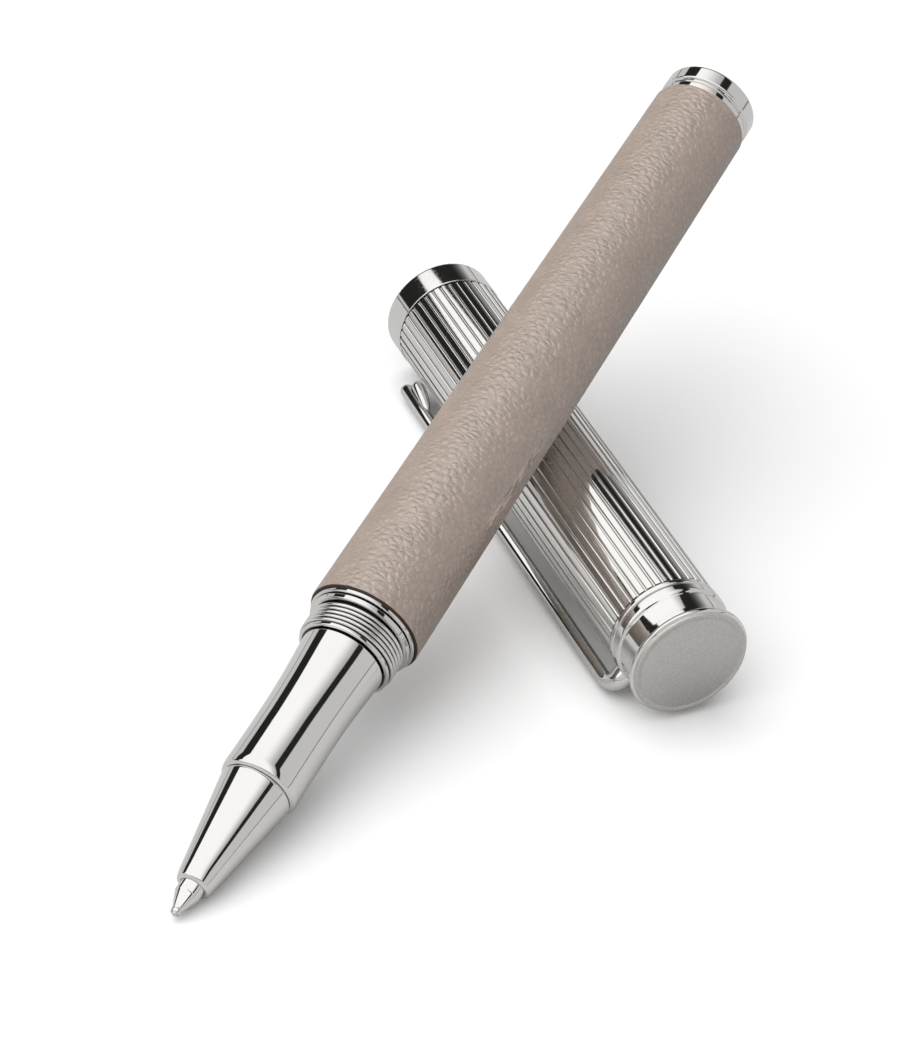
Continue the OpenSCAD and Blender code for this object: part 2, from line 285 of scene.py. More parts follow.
def finish_piece(piece, place, body, slot, *nodes, look=None, smooth_angle=40):
    """Moves a piece to its place, into its mesh, shades it, hangs it under its body and hides the frame's nodes
    that it stands for.

    Its material is the one named after the slot, unless look names another.
    """
    pick(piece)
    piece.matrix_world = place @ piece.matrix_world
    bpy.ops.object.transform_apply(location=True, rotation=True, scale=True)
    bpy.ops.object.shade_smooth_by_angle(angle=math.radians(smooth_angle))
    piece.data.materials.clear()
    piece.data.materials.append(material(look or slot))
    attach(piece, body)
    if nodes:
        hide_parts(*nodes)


def frame_body(node):
    """The body that a CAD node belongs to."""
    for body, members in frame["record"]["behaviour"]["bodies"].items():
        if node in members:
            return body
    raise ValueError("no body holds " + node)


# ---- Node helpers ----

class Nodes:
    """Adds and links the nodes of one tree, for a material or for the world."""

    def __init__(self, tree):
        self.tree = tree

    def add(self, kind, **settings):
        node = self.tree.nodes.new(kind)
        for key, value in settings.items():
            setattr(node, key, value)
        return node

    def link(self, source, target):
        self.tree.links.new(source, target)

    def split(self, vector):
        """The X, Y and Z sockets of a vector."""
        node = self.add("ShaderNodeSeparateXYZ")
        self.link(vector, node.inputs["Vector"])
        return node.outputs["X"], node.outputs["Y"], node.outputs["Z"]

    def ramp(self, value, low, high, to_low=0.0, to_high=1.0):
        """Eased step between two values; the result stays within its own limits."""
        node = self.add("ShaderNodeMapRange", interpolation_type="SMOOTHSTEP")
        node.inputs["From Min"].default_value = low
        node.inputs["From Max"].default_value = high
        node.inputs["To Min"].default_value = to_low
        node.inputs["To Max"].default_value = to_high
        self.link(value, node.inputs["Value"])
        return node.outputs["Result"]

    def calc(self, operation, first, second=None):
        node = self.add("ShaderNodeMath", operation=operation)
        for socket, value in zip(node.inputs, (first, second)):
            if isinstance(value, (int, float)):
                socket.default_value = value
            elif value is not None:
                self.link(value, socket)
        return node.outputs["Value"]

    def product(self, first, *factors):
        for factor in factors:
            first = self.calc("MULTIPLY", first, factor)
        return first

    def weighted_sum(self, *terms):
        """Sum of (value, weight) terms."""
        parts = [self.product(value, weight) for value, weight in terms]
        total = parts[0]
        for part in parts[1:]:
            total = self.calc("ADD", total, part)
        return total

    def rest_of(self, value):
        """What is left of 1."""
        return self.calc("SUBTRACT", 1.0, value)


class Recipe(Nodes):
    """A node material under construction, with coordinates of the object or of a place."""

    def __init__(self, name, place=None):
        self.material = bpy.data.materials.new(name)
        self.material.use_nodes = True
        super().__init__(self.material.node_tree)
        self.shader = self.tree.nodes["Principled BSDF"]
        self.coordinates = self.add("ShaderNodeTexCoord").outputs["Object"]
        if place is not None:
            local = self.add("ShaderNodeMapping", vector_type="TEXTURE")
            local.inputs["Location"].default_value = place.translation
            local.inputs["Rotation"].default_value = place.to_euler()
            self.link(self.coordinates, local.inputs["Vector"])
            self.coordinates = local.outputs["Vector"]

    def stretched(self, vector, scale):
        node = self.add("ShaderNodeMapping")
        node.inputs["Scale"].default_value = scale
        self.link(vector, node.inputs["Vector"])
        return node.outputs["Vector"]

    def noise(self, size, detail=3, distortion=0.0, vector=None):
        """Noise whose features are about size metres across."""
        node = self.add("ShaderNodeTexNoise")
        node.inputs["Scale"].default_value = 1 / size
        node.inputs["Detail"].default_value = detail
        node.inputs["Distortion"].default_value = distortion
        self.link(vector or self.coordinates, node.inputs["Vector"])
        return node.outputs["Fac"]

    def cells(self, size, feature="F1", vector=None):
        """Cells about size metres across."""
        node = self.add("ShaderNodeTexVoronoi", feature=feature)
        node.inputs["Scale"].default_value = 1 / size
        self.link(vector or self.coordinates, node.inputs["Vector"])
        return node.outputs["Distance"]

    def mix(self, factor, first, second):
        """Mixes two colours, each a tuple or a socket."""
        node = self.add("ShaderNodeMix", data_type="RGBA")
        self.link(factor, node.inputs["Factor"])
        for socket, value in ((node.inputs[6], first), (node.inputs[7], second)):
            if isinstance(value, bpy.types.NodeSocket):
                self.link(value, socket)
            else:
                socket.default_value = (*value, 1)
        return node.outputs[2]

    def bump(self, height, depth, strength=1.0):
        node = self.add("ShaderNodeBump")
        node.inputs["Strength"].default_value = strength
        node.inputs["Distance"].default_value = depth
        self.link(height, node.inputs["Height"])
        return node.outputs["Normal"]

    def wire(self, **sockets):
        """Links or sets sockets of the shader, named with underscores for spaces."""
        for name, value in sockets.items():
            socket = self.shader.inputs[name.replace("_", " ")]
            if isinstance(value, bpy.types.NodeSocket):
                self.link(value, socket)
            elif isinstance(value, tuple):
                socket.default_value = (*value, 1)
            else:
                socket.default_value = value
        return self.material


# ---- Materials ----

def shade(colour, factor):
    return tuple(min(1, c * factor) for c in colour)


def metal_recipe(name, colour, rough, ripple, place=None):
    """Metal with cloudy variation, fine handling marks and a slight ripple; and its tint."""
    recipe = Recipe(name, place)
    clouds = recipe.noise(6 * MM, detail=2)
    marks = recipe.noise(0.35 * MM, detail=4)
    tint = recipe.mix(clouds, shade(colour, 0.95), shade(colour, 1.03))
    roughness = recipe.ramp(marks, 0.35, 0.7, *rough)
    relief = recipe.bump(recipe.noise(2.5 * MM, detail=1), ripple)
    recipe.wire(Base_Color=tint, Metallic=1.0, Roughness=roughness, Normal=relief)
    return recipe, tint


def metal(name, colour, rough, ripple):
    return metal_recipe(name, colour, rough, ripple)[0].material


def threaded_steel(colour, crest):
    """Polished steel with painted shade: near black in the thread valleys, and in the grooves before and behind
    the thread.
    """
    recipe, bright = metal_recipe("threaded_steel", colour, (0.03, 0.08), 0.001 * MM, PEN)
    x, y, z = recipe.split(recipe.coordinates)
    flat = recipe.add("ShaderNodeCombineXYZ")
    recipe.link(x, flat.inputs["X"])
    recipe.link(y, flat.inputs["Y"])
    reach = recipe.add("ShaderNodeVectorMath", operation="LENGTH")
    recipe.link(flat.outputs["Vector"], reach.inputs[0])
    radius = reach.outputs["Value"]

    def below(value, start, end):
        return recipe.ramp(value, start, end, 1.0, 0.0)

    thread_starts = recipe.ramp(z, 33.6 * MM, 33.75 * MM)
    valleys = recipe.product(below(radius, crest - 0.24 * MM, crest - 0.1 * MM), thread_starts)
    groove_starts = recipe.ramp(z, 37.0 * MM, 37.03 * MM)
    groove = recipe.product(groove_starts, below(radius, 5.3 * MM, 5.5 * MM))
    recess = recipe.product(
        below(z, 33.33 * MM, 33.36 * MM), below(radius, 4.55 * MM, 4.68 * MM)
    )
    # Painted shade: the thread valleys, the groove behind the thread and the recess at the grip joint are coloured
    # near black.
    painted_shade = recipe.calc("MAXIMUM", recipe.calc("MAXIMUM", valleys, groove), recess)
    return recipe.wire(Base_Color=recipe.mix(painted_shade, bright, shade(colour, 0.07)))


def plastic(name, colour, roughness):
    """Moulded plastic with a slight mottle."""
    recipe = Recipe(name)
    mottle = recipe.noise(0.6 * MM, detail=3)
    tint = recipe.mix(mottle, shade(colour, 0.9), shade(colour, 1.08))
    rough = recipe.ramp(mottle, 0.3, 0.7, roughness - 0.05, roughness + 0.07)
    relief = recipe.bump(mottle, 0.004 * MM)
    return recipe.wire(Base_Color=tint, Roughness=rough, Normal=relief)


def blasted_steel(colour):
    """Fine matt grain of a bead-blasted face."""
    recipe = Recipe("blasted_steel")
    grain = recipe.noise(0.11 * MM, detail=5)
    dents = recipe.cells(0.16 * MM)
    height = recipe.calc("ADD", grain, recipe.product(dents, 0.6))
    tint = recipe.mix(recipe.ramp(grain, 0.35, 0.65), shade(colour, 0.88), shade(colour, 1.1))
    relief = recipe.bump(height, 0.012 * MM, 0.8)
    rough = recipe.ramp(grain, 0.3, 0.7, 0.42, 0.55)
    return recipe.wire(Base_Color=tint, Metallic=0.85, Roughness=rough, Normal=relief)


def seam_mask(recipe):
    """Puckered stretch of the sleeve's lengthwise seam, low on its near side."""
    side = PEN.to_3x3().inverted() @ Vector((0.59, -0.786, 0.19))
    x, y, z = recipe.split(recipe.coordinates)
    turn = recipe.calc("ARCTAN2", y, x)
    away = recipe.calc("ABSOLUTE", recipe.calc("SUBTRACT", turn, math.atan2(side.y, side.x)))
    band = recipe.ramp(away, 0.06, 0.22, 1.0, 0.0)
    start = recipe.ramp(z, 50 * MM, 54 * MM)
    end = recipe.ramp(z, 64 * MM, 72 * MM, 1.0, 0.0)
    return recipe.product(start, end, band)


def drifted(recipe, size):
    """Coordinates pulled about at random, and squeezed a little along the pen."""
    drift = recipe.add("ShaderNodeTexNoise")
    drift.inputs["Scale"].default_value = 0.7 / size
    drift.inputs["Detail"].default_value = 2
    recipe.link(recipe.coordinates, drift.inputs["Vector"])
    pull = recipe.add("ShaderNodeVectorMath", operation="MULTIPLY_ADD")
    pull.inputs[1].default_value = (size * 0.55,) * 3
    recipe.link(drift.outputs["Color"], pull.inputs[0])
    recipe.link(recipe.coordinates, pull.inputs[2])
    return recipe.stretched(pull.outputs["Vector"], (0.85, 0.85, 1.2))


def pebbled_leather(sizes, colours):
    """Soft pebbled hide: rounded scales, creases between them and fine wrinkles, with painted shade in the creases
    and along each fold of the seam, and painted highlights on its puckers.
    """
    recipe = Recipe("pebbled_leather", PEN)
    size = sizes.leather_grain
    hide = drifted(recipe, size)
    edges = recipe.cells(size, "DISTANCE_TO_EDGE", hide)
    scales = recipe.ramp(edges, 0.0, 0.34)
    dome = recipe.ramp(recipe.cells(size, "F1", hide), 0.1, 0.75, 1.0, 0.0)
    small = recipe.ramp(recipe.cells(size * 0.42, "DISTANCE_TO_EDGE", hide), 0.0, 0.22)
    pores = recipe.noise(0.16 * MM, detail=4)
    seam = seam_mask(recipe)
    along = recipe.stretched(recipe.coordinates, (1, 1, 0.3))
    wrinkles = recipe.noise(0.5 * MM, detail=3, distortion=1.0, vector=along)
    puckers = recipe.product(wrinkles, seam)
    height = recipe.weighted_sum(
        (scales, 0.55), (dome, 0.45), (small, 0.16), (pores, 0.12), (puckers, 2.0)
    )
    relief = recipe.bump(height, sizes.leather_relief)

    blotches = recipe.ramp(recipe.noise(2.2 * MM, detail=3), 0.3, 0.7)
    tone = recipe.mix(blotches, shade(colours.leather, 0.86), shade(colours.leather, 1.12))
    # Painted shade: the creases between the pebbles take a darker colour than the faces.
    filled = recipe.weighted_sum((recipe.ramp(edges, 0.0, 0.15), 0.6), (small, 0.4))
    tone = recipe.mix(filled, tuple(colours.crease_shade), tone)
    # Painted highlights: pale marks on the seam's puckers.
    painted_highlights = recipe.ramp(puckers, 0.42, 0.62)
    tone = recipe.mix(painted_highlights, tone, shade(colours.leather, 1.9))
    # Painted shade: dark marks in each fold of the seam.
    fold_shade = recipe.ramp(recipe.product(recipe.rest_of(wrinkles), seam), 0.45, 0.62)
    tone = recipe.mix(fold_shade, tone, shade(colours.crease_shade, 0.35))
    return recipe.wire(
        Base_Color=tone, Roughness=recipe.ramp(height, 0.3, 1.1, 0.5, 0.36), Normal=relief,
        IOR=2.0, Specular_IOR_Level=1.0, Sheen_Weight=0.04, Sheen_Roughness=0.45,
    )


MATERIALS = {}


def material(name):
    """The named material, made the first time it is asked for."""
    if name in MATERIALS:
        return MATERIALS[name]
    colours = bpy.context.scene.pen_colours
    sizes = bpy.context.scene.pen_sizes
    steel, dull = colours.steel, shade(colours.steel, 0.9)
    makers = {
        "polished_steel": lambda: metal(name, steel, (0.03, 0.07), 0.0012 * MM),
        "threaded_steel": lambda: threaded_steel(steel, sizes.thread_crest),
        "plain_steel": lambda: metal(name, dull, (0.16, 0.3), 0.002 * MM),
        "brass": lambda: metal(name, colours.brass, (0.2, 0.34), 0.003 * MM),
        "satin_steel": lambda: blasted_steel(colours.satin),
        "leather": lambda: pebbled_leather(sizes, colours),
        "painted_edge_shade": lambda: plastic(name, colours.leather_edge, 0.6),
        "dark_plastic": lambda: plastic(name, colours.dark_plastic, 0.42),
        "rubber": lambda: plastic(name, shade(colours.dark_plastic, 0.7), 0.65),
        "white_plastic": lambda: plastic(name, colours.white_plastic, 0.35),
        "ink": lambda: plastic(name, colours.ink, 0.2),
    }
    MATERIALS[name] = makers[name]()
    return MATERIALS[name]


# ---- Pieces of the pen ----

class PEN_OT_leather(bpy.types.Operator):
    """Leather sleeve round the barrel, with turned edges and a near-black ring of painted shade at its front edge
    """

    bl_idname = "pen.leather"
    bl_label = "Leather sleeve"

    def execute(self, context):
        front_r, front_z, tail_r, tail_z = 6.0, 37.7, 5.35, 114.58
        wall = 0.78
        rows = 90
        outer = [
            (front_r + (tail_r - front_r) * (i / rows), front_z + (tail_z - front_z) * (i / rows))
            for i in range(1, rows)
        ]
        sleeve = spun("leather_cover", [
            (front_r - wall, front_z), (front_r, front_z, 0.16), *outer,
            (tail_r, tail_z, 0.2), (tail_r - wall, tail_z),
        ], steps=160)
        finish_piece(sleeve, PEN, "barrel", "leather", "leather_sleeve", smooth_angle=50)
        # Near-black ring of painted shade between the leather and the collar.
        edge = spun("leather_edge", [
            (5.22, 37.57), (5.9, 37.57, 0.05), (5.93, 37.7), (5.22, 37.7),
        ])
        finish_piece(edge, PEN, "barrel", "leather", look="painted_edge_shade")
        return {"FINISHED"}


class PEN_OT_collar(bpy.types.Operator):
    """Collar with the cap's thread, between the grip and the leather"""

    bl_idname = "pen.collar"
    bl_label = "Threaded collar"

    def execute(self, context):
        sizes = context.scene.pen_sizes
        crest = sizes.thread_crest / MM
        root = crest - 0.3
        body = spun("collar", [
            (3.43, 33.25), (4.3, 33.25), (4.3, 33.32), (4.92, 33.32, 0.12), (4.92, 33.72, 0.06),
            (root, 33.8), (root, 36.42), (5.45, 36.5, 0.05), (5.45, 37.0, 0.05), (5.2, 37.06),
            (5.2, 37.12), (5.72, 37.16, 0.08), (5.72, 37.56), (4.28, 37.56), (4.28, 46.0),
            (3.43, 46.0),
        ])
        section = [
            (root - 0.05, -0.23), (crest - 0.1, -0.15), (crest - 0.02, -0.08), (crest, 0),
            (crest - 0.02, 0.08), (crest - 0.1, 0.15), (root - 0.05, 0.23),
        ]
        start, turns = 33.88, 5
        ridge = helix(
            "thread", [(r, z + start) for r, z in section], sizes.thread_pitch, turns
        )
        finish_piece(join(body, ridge), PEN, "barrel", "polished_steel", "threaded_collar",
                     look="threaded_steel")
        return {"FINISHED"}


class PEN_OT_front(bpy.types.Operator):
    """Grip and nose cone, which unscrew from the barrel together"""

    bl_idname = "pen.front"
    bl_label = "Grip and nose cone"

    def execute(self, context):
        grip = spun("grip", [
            (3.3, 15.92), (3.66, 15.92, 0.05), (3.96, 16.12, 0.14), (4.06, 16.7, 0.3),
            (4.0, 19.4, 2.1), (3.98, 27.0, 4.0), (4.45, 33.13, 0.06), (4.39, 33.19), (3.3, 33.19),
        ])
        finish_piece(grip, PEN, "front_section", "polished_steel", "grip_section")
        nose = spun("nose", [
            (1.3, 3.5), (1.5, 3.5, 0.06), (1.78, 3.7, 0.12), (1.95, 4.4, 0.5),
            (3.72, 15.62, 0.1), (3.6, 15.86), (3.28, 15.86), (3.28, 21), (2.9, 21),
            (2.9, 17.95), (2.0, 17.95), (2.0, 8), (1.3, 8),
        ])
        finish_piece(nose, PEN, "front_section", "polished_steel", "nose_cone")
        return {"FINISHED"}


class PEN_OT_refill(bpy.types.Operator):
    """Writing tip that holds the ball, and the spring behind the refill"""

    bl_idname = "pen.refill"
    bl_label = "Refill tip and spring"

    def execute(self, context):
        tip = spun("tip", [
            (0, 0.9), (0.34, 0.6), (0.37, 0.26), (0.44, 0.24), (0.5, 0.3), (0.55, 0.62, 0.04),
            (0.5, 0.68, 0.02), (0.55, 0.75, 0.02), (1.2, 2.4, 0.06), (1.25, 2.46),
            (1.25, 9.4), (0, 9.4),
        ], steps=96)
        finish_piece(tip, PEN, "refill", "plain_steel", "refill_tip", look="polished_steel")
        wire, coil, first, length = 0.2, 2.2, 110.58, 2.68
        corners = [2 * math.pi * k / 12 for k in range(12)]
        ring = [(coil + wire * math.cos(a), first + wire * math.sin(a)) for a in corners]
        turns = context.scene.pen_sizes.spring_coils - 1
        spring = helix("spring", ring, length * MM / turns, turns, steps=64)
        finish_piece(spring, PEN, frame_body("refill_spring"), "plain_steel", "refill_spring",
                     smooth_angle=60)
        return {"FINISHED"}


class PEN_OT_tail(bpy.types.Operator):
    """Ring and polished cap that close the barrel"""

    bl_idname = "pen.tail"
    bl_label = "Tail ring and cap"

    def execute(self, context):
        ring = spun("tail_collar", [
            (2.0, 114.66), (5.13, 114.66, 0.06), (5.15, 115.3, 0.08), (4.98, 115.42),
            (4.98, 115.5), (5.1, 115.54, 0.03), (5.1, 115.74), (2.0, 115.74),
        ])
        finish_piece(ring, PEN, "barrel", "polished_steel", "tail_ring")
        cap = spun("tail_end", [
            (0, 115.76), (4.9, 115.76, 0.06), (5.24, 115.98, 0.1), (5.24, 117.8, 0.28), (0, 117.8),
        ])
        finish_piece(cap, PEN, "barrel", "polished_steel", "tail_cap")
        return {"FINISHED"}


# ---- Pieces of the cap ----

class PEN_OT_mouth(bpy.types.Operator):
    """Plain band round the mouth and the thread inside it"""

    bl_idname = "pen.mouth"
    bl_label = "Mouth band and thread"

    def execute(self, context):
        band = spun("mouth_collar", [
            (5.35, 0.7), (5.8, 0.7, 0.06), (5.8, 0.0, 0.08), (6.12, 0.0, 0.24),
            (6.12, 3.34, 0.08), (5.78, 3.38), (5.78, 3.5), (5.35, 3.5),
        ])
        finish_piece(band, CAP, "cap", "polished_steel", "mouth_band")
        inside = spun("thread_liner", [
            (5.17, 0.72, 0.05), (5.33, 0.72), (5.33, 4.98), (4.95, 4.98, 0.05), (5.17, 4.6, 0.05),
        ])
        section = [(5.22, -0.22), (4.87, -0.05), (4.87, 0.05), (5.22, 0.22)]
        start, pitch, turns = 1.1, 0.5 * MM, 6
        ridge = helix("inner_thread", [(r, z + start) for r, z in section], pitch, turns)
        finish_piece(join(inside, ridge), CAP, "cap", "brass", "cap_thread_ring")
        return {"FINISHED"}


class PEN_OT_shell(bpy.types.Operator):
    """Fluted tube of the cap"""

    bl_idname = "pen.shell"
    bl_label = "Fluted shell"

    def execute(self, context):
        sizes = context.scene.pen_sizes
        outer, inner = 6.05 * MM, 5.35 * MM
        low, high = 3.5 * MM, 56.9 * MM
        middle = (low + high) / 2
        around = 24  # vertices round the tube for each flute
        count = sizes.flutes * around

        def tube(radius):
            deselect()
            bpy.ops.mesh.primitive_cylinder_add(
                vertices=count, radius=radius, depth=high - low,
                end_fill_type="NOTHING", location=(0, 0, middle),
            )
            return context.object

        shell = tube(outer)
        shell.name = "fluted_tube"
        step = 2 * math.pi / count
        groove_r = 0.22 * MM
        reach = groove_r - sizes.flute_depth
        levels = {}
        for vertex in shell.data.vertices:
            turn = round(math.atan2(vertex.co.y, vertex.co.x) / step) % around
            offset = min(turn, around - turn) * step * outer
            if offset < math.sqrt(groove_r ** 2 - reach ** 2):
                levels.setdefault(round(offset / MM, 4), []).append(vertex.index)
        for offset, members in levels.items():
            depth = math.sqrt(groove_r ** 2 - (offset * MM) ** 2) - reach
            clear_selection("VERT")
            for index in members:
                shell.data.vertices[index].select = True
            bpy.ops.object.mode_set(mode="EDIT")
            scale = (outer - depth) / outer
            bpy.ops.transform.resize(value=(scale, scale, 1))
        shell = join(shell, tube(inner))
        centre = shell.matrix_world.translation.z
        for end in (low, high):
            clear_selection("EDGE")
            for edge in shell.data.edges:
                heights = [shell.data.vertices[v].co.z + centre for v in edge.vertices]
                edge.select = all((h - middle) * (end - middle) > 0 for h in heights)
            bpy.ops.object.mode_set(mode="EDIT")
            bpy.ops.mesh.bridge_edge_loops()
        tidy_mesh()
        finish_piece(shell, CAP, "cap", "polished_steel", "cap_shell", smooth_angle=22)
        return {"FINISHED"}


class PEN_OT_crown(bpy.types.Operator):
    """Clip ring, neck, rim and medallion at the closed end of the cap"""

    bl_idname = "pen.crown"
    bl_label = "Crown"

    def execute(self, context):
        ring = spun("clip_collar", [
            (4.57, 56.9), (5.72, 56.9), (5.72, 57.02), (6.13, 57.06, 0.12), (6.13, 57.62, 0.14),
            (5.86, 57.72, 0.03), (6.17, 57.84, 0.14), (6.17, 58.85, 0.2), (5.92, 59.08, 0.04),
            (5.9, 59.2), (4.57, 59.2),
        ])
        finish_piece(ring, CAP, "cap", "polished_steel", "clip_ring")
        neck = spun("neck", [
            (4.57, 59.21), (5.9, 59.21), (5.89, 60.2), (5.9, 61.19), (4.57, 61.19),
        ])
        finish_piece(neck, CAP, "cap", "polished_steel", "crown_neck")
        disc = spun("crown_rim", [
            (1.25, 61.2), (5.9, 61.2), (5.92, 61.95, 0.06), (6.3, 62.06, 0.1),
            (6.45, 62.28, 0.08), (6.45, 62.56, 0.12), (6.2, 62.7, 0.04), (1.25, 62.7),
        ])
        finish_piece(disc, CAP, "cap", "polished_steel", "crown_disc")
        face = spun("crown_face", [
            (0, 62.7), (6.17, 62.7), (6.17, 62.93, 0.06), (6.05, 63.0, 0.04), (5.6, 63.0),
            (5.55, 62.97), (5.5, 63.0), (0, 63.0),
        ])
        finish_piece(face, CAP, "cap", "satin_steel", "crown_medallion")
        return {"FINISHED"}


class Bar:
    """Round bar in the XZ plane, grown in edit mode from a first ring that faces +X."""

    def __init__(self, name, radius, out, along):
        deselect()
        self.at, self.radius = Vector((out, 0, along)), radius
        bpy.ops.mesh.primitive_circle_add(
            vertices=32, radius=radius, fill_type="NGON",
            location=self.at, rotation=(0, math.pi / 2, 0),
        )
        self.piece = bpy.context.object
        self.piece.name = name
        bpy.ops.object.transform_apply(location=True, rotation=True, scale=True)
        bpy.ops.object.mode_set(mode="EDIT")
        bpy.ops.mesh.select_mode(type="FACE")
        bpy.ops.mesh.select_all(action="SELECT")

    def bend(self, degrees):
        """Turns the last ring from +X towards -Z."""
        bpy.ops.transform.rotate(
            value=math.radians(-degrees), orient_axis="Y", center_override=self.at
        )

    def grow(self, stations, bend=0):
        """Extrudes the last ring to each (out, along, radius), bending it at each."""
        for out, along, radius in stations:
            there = Vector((out, 0, along))
            bpy.ops.mesh.extrude_region_move(TRANSFORM_OT_translate={"value": there - self.at})
            scale = radius / self.radius
            bpy.ops.transform.resize(value=(scale,) * 3, center_override=there)
            self.at, self.radius = there, radius
            if bend:
                self.bend(bend)


def clip_bar(bar_r):
    """Pin, swollen shoulder, bend and bar of the clip, with a rounded free end."""
    pin_r, pin_w = 0.65 * MM, 57.95 * MM
    bar_at, bend_r, swell = 8.15 * MM, 1.5 * MM, 0.45 * MM
    bar = Bar("clip_bar", pin_r, 4.95 * MM, pin_w)
    bar.grow([
        (6.0 * MM, pin_w, pin_r), (6.02 * MM, pin_w, bar_r + swell * 1.1),
        (bar_at - bend_r, pin_w, bar_r + swell),
    ])
    steps = 12
    for k in range(1, steps + 1):
        angle = math.radians(90 * k / steps)
        out = bar_at - bend_r + bend_r * math.sin(angle)
        along = pin_w - bend_r + bend_r * math.cos(angle)
        bar.grow([(out, along, bar_r + swell * (1 - k / steps) ** 1.3)], 90 / steps)
    bar.grow([(bar_at, along * MM, bar_r) for along in (50, 30, 12)])
    free_end, point_r = 5.1 * MM, 0.01 * MM
    for angle in (math.radians(degrees) for degrees in (0, 15, 30, 45, 60, 72, 82, 89)):
        along = free_end + bar_r - bar_r * math.sin(angle)
        bar.grow([(bar_at, along, max(bar_r * math.cos(angle), point_r))])
    tidy_mesh()
    return bar.piece


def clip_foot():
    """Teardrop foot between the free end of the bar and the shell."""
    foot = Bar("clip_foot", 0.05 * MM, 6.88 * MM, 5.86 * MM)
    foot.bend(-90)
    length, widest, widest_at, slope, steps = 4.6, 0.74, 0.17, 0.62, 24
    for k in range(1, steps + 1):
        t = k / steps
        reach = widest_at if t < widest_at else 0.85
        radius = widest * math.sqrt(max(1 - ((t - widest_at) / reach) ** 2, 0.003))
        foot.grow([((6.92 + slope * t ** 1.5) * MM, (5.9 + length * t) * MM, radius * MM)])
    tidy_mesh()
    return foot.piece


class PEN_OT_clip(bpy.types.Operator):
    """Round spring clip: pin, bend, bar with a rounded end and its teardrop foot"""

    bl_idname = "pen.clip"
    bl_label = "Clip"

    def execute(self, context):
        clip = join(clip_bar(context.scene.pen_sizes.clip_bar / 2), clip_foot())
        finish_piece(clip, CAP, "clip", "polished_steel", "clip")
        return {"FINISHED"}


class PEN_OT_inner(bpy.types.Operator):
    """Finishes of the inner parts, which keep the frame's own shapes"""

    bl_idname = "pen.inner"
    bl_label = "Inner parts"

    finishes = {
        "brass": ["barrel_tube", "tail_plug", "tail_screw", "section_insert", "crown_plug"],
        "dark_plastic": ["refill_feed", "refill_end_plug", "inner_cap"],
        "rubber": ["section_o_ring"],
        "white_plastic": ["refill_tube"],
        "ink": ["ink_reservoir"],
        "plain_steel": ["writing_ball", "crown_screw", "crown_washer"],
    }

    def execute(self, context):
        for finish, nodes in self.finishes.items():
            for node in nodes:
                part = frame["nodes"][node]
                part.data.materials.clear()
                part.data.materials.append(material(finish))
        return {"FINISHED"}


# ---- Stage ----

def studio_world(studio):
    """Soft white overhead panel in a dark surround, with pale walls below it."""
    world = bpy.data.worlds.new("studio")
    bpy.context.scene.world = world
    world.use_nodes = True
    sky = Nodes(world.node_tree)
    calc, product, fade, rest_of = sky.calc, sky.product, sky.ramp, sky.rest_of
    where = sky.add("ShaderNodeTexCoord").outputs["Generated"]
    east, north, height = sky.split(where)
    seen = sky.add("ShaderNodeLightPath").outputs

    def box_mask(x, y, left, right, near, far, soft):
        return product(
            fade(x, left - soft, left), fade(x, right + soft, right),
            fade(y, near - soft, near), fade(y, far + soft, far),
        )

    # Directions on the plane one unit overhead; rays near the floor stay at its rim.
    up = calc("MAXIMUM", height, 0.02)
    x = calc("DIVIDE", east, up)
    y = calc("DIVIDE", north, up)
    above = fade(height, 0.0, 0.03)

    # Bright panel, dimmer where it is mirrored and dimmest towards its right edge.
    tilted = calc("ADD", y, product(x, 0.24))
    panel = product(box_mask(x, tilted, -4.5, 0.56, -1.3, 1.085, 0.03), above)
    glossy = seen["Is Glossy Ray"]
    mirrored = rest_of(product(glossy, 0.475))
    right_edge = product(fade(x, 0.1, 0.56), 0.3, glossy)
    panel = product(panel, calc("SUBTRACT", mirrored, right_edge))

    # Dark surround, with an edge that slants on the left and fades out on the right.
    leftward = calc("MAXIMUM", calc("SUBTRACT", -0.44, x), 0.0)
    slanted = calc("SUBTRACT", y, product(leftward, 0.7))
    overhead_gap = box_mask(x, slanted, -12.0, 0.90, -2.0, 3.0, 0.06)
    back_gap = box_mask(x, slanted, 0.3, 3.2, 0.9, 3.2, 0.3)
    gap = product(calc("MAXIMUM", overhead_gap, back_gap), above)
    gap = product(gap, rest_of(product(fade(x, 0.9, 3.2), 0.8)))

    # Pale walls, dark from just above the horizon down.
    walls = product(rest_of(gap), studio.walls)
    horizon = rest_of(fade(height, 0.03, 0.04))
    walls = product(walls, rest_of(product(horizon, 0.7)))

    # Less light reaches matt surfaces from the right, and the camera sees plain white.
    light = calc("ADD", calc("ADD", product(panel, studio.panel), walls), 0.02)
    rightward = calc("SUBTRACT", product(east, 0.63), product(north, 0.77))
    right_side = product(fade(rightward, -0.35, 0.35), 0.85)
    light = calc("SUBTRACT", light, product(light, right_side, seen["Is Diffuse Ray"]))
    shown = seen["Is Camera Ray"]
    strength = calc("ADD", product(light, rest_of(shown)), shown)
    background = sky.tree.nodes["Background"]
    sky.link(strength, background.inputs["Strength"])
    background.inputs["Color"].default_value = (1, 1, 1, 1)


def floor_paper(pale):
    """Pale paper that gives back less light to the pen than it shows to the camera."""
    paper = Recipe("floor_paper")
    tone = paper.mix(paper.noise(0.3, detail=2), (pale,) * 3, (pale * 0.985,) * 3)
    rays = paper.add("ShaderNodeLightPath").outputs
    tone = paper.mix(rays["Is Diffuse Ray"], tone, (pale * 0.26,) * 3)
    tone = paper.mix(rays["Is Glossy Ray"], tone, (pale * 0.6,) * 3)
    return paper.wire(Base_Color=tone, Roughness=0.9, Specular_IOR_Level=0.1)


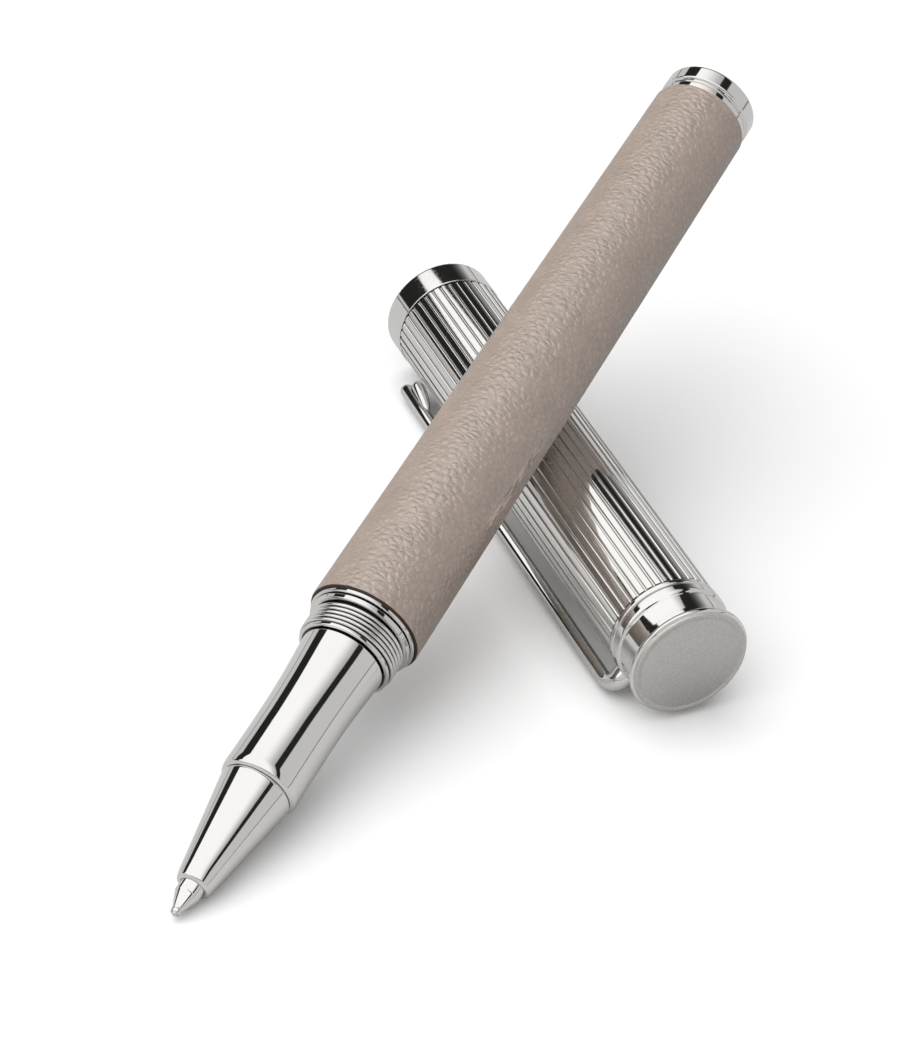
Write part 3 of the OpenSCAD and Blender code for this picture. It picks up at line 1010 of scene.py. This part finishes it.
class PEN_OT_stage(bpy.types.Operator):
    """Pale floor, soft studio light and the camera"""

    bl_idname = "pen.stage"
    bl_label = "Stage"

    def execute(self, context):
        studio = context.scene.pen_studio
        scene = context.scene
        scene.view_settings.view_transform = "Standard"
        studio_world(studio)
        deselect()
        floor_size, floor_drop = 4, 0.02 * MM
        bpy.ops.mesh.primitive_plane_add(
            size=floor_size, location=(0, 0, CAD_LOW.z - floor_drop)
        )
        floor = context.object
        floor.name = "floor"
        floor.data.materials.append(floor_paper(studio.floor))

        eye = Vector((-150.94, -292.70, 267.47)) * MM
        aim = Vector((3.355, 7.236, 0)) * MM
        roll = Matrix.Rotation(math.radians(5.59), 4, "Z")
        turn = (aim - eye).to_track_quat("-Z", "Y").to_matrix().to_4x4()
        bpy.ops.object.camera_add(location=(0, 0, 0))
        camera = context.object
        camera.name = "camera"
        camera.matrix_world = Matrix.Translation(eye) @ turn @ roll
        camera.data.lens = 140.36
        camera.data.sensor_width = 36
        camera.data.clip_start = 0.01
        camera.data.clip_end = 20
        scene.camera = camera
        return {"FINISHED"}


class PEN_PT_panel(bpy.types.Panel):
    """Pieces of the pen"""

    bl_label = "Rollerball pen"
    bl_idname = "PEN_PT_panel"
    bl_space_type = "VIEW_3D"
    bl_region_type = "UI"
    bl_category = "Pen"

    def draw(self, context):
        for key in GROUPS:
            group = getattr(context.scene, key)
            for name in group.__annotations__:
                self.layout.prop(group, name)
        for operator in PIECES:
            self.layout.operator(operator.bl_idname)


PIECES = (
    PEN_OT_leather, PEN_OT_collar, PEN_OT_front, PEN_OT_refill, PEN_OT_tail, PEN_OT_mouth,
    PEN_OT_shell, PEN_OT_crown, PEN_OT_clip, PEN_OT_inner, PEN_OT_stage,
)
GROUPS = {"pen_sizes": PenSizes, "pen_colours": PenColours, "pen_studio": PenStudio}


def register():
    for cls in (*GROUPS.values(), *PIECES, PEN_PT_panel):
        bpy.utils.register_class(cls)
    for name, cls in GROUPS.items():
        setattr(bpy.types.Scene, name, bpy.props.PointerProperty(type=cls))


def unregister():
    for name in GROUPS:
        delattr(bpy.types.Scene, name)
    for cls in reversed((*GROUPS.values(), *PIECES, PEN_PT_panel)):
        bpy.utils.unregister_class(cls)


def main():
    register()
    for operator in PIECES:
        getattr(bpy.ops.pen, operator.bl_idname.split(".")[1])()
    deselect()


if __name__ == "__main__":
    main()
